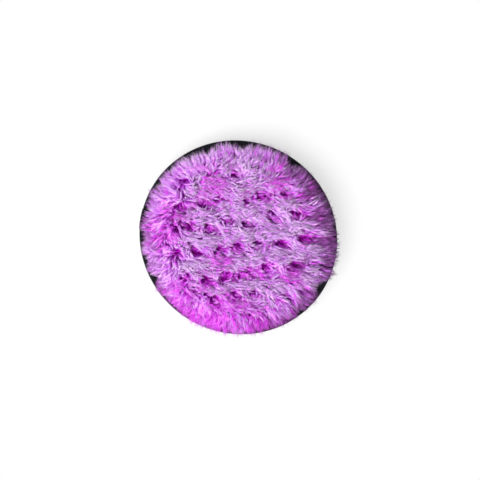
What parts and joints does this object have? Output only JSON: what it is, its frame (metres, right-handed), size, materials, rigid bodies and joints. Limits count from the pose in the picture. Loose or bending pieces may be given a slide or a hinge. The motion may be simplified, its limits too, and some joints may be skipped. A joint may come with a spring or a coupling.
{
  "type": "makeup remover sponge",
  "caption": "Round hand pad of long lilac plush on both faces over a sponge core, with a black tape bound round its rim, for wiping off makeup.",
  "frame": {"origin": "middle of the back pile's flat resting face", "axes": "+Z out of the front face; +X and +Y lie in the pad's plane"},
  "size_m": [0.1198, 0.12, 0.0266],
  "materials": {
    "plush": "long glossy microfibre pile",
    "sponge": "open-cell foam, matt",
    "tape": "ribbed woven tape, matt",
    "thread": "twisted polyester thread"
  },
  "bodies": {
    "root": {"front_plush": "plush", "back_plush": "plush", "sponge_core": "sponge", "edge_binding": "tape", "needle_thread": "thread", "bobbin_thread": "thread"}
  },
  "joints": []
}
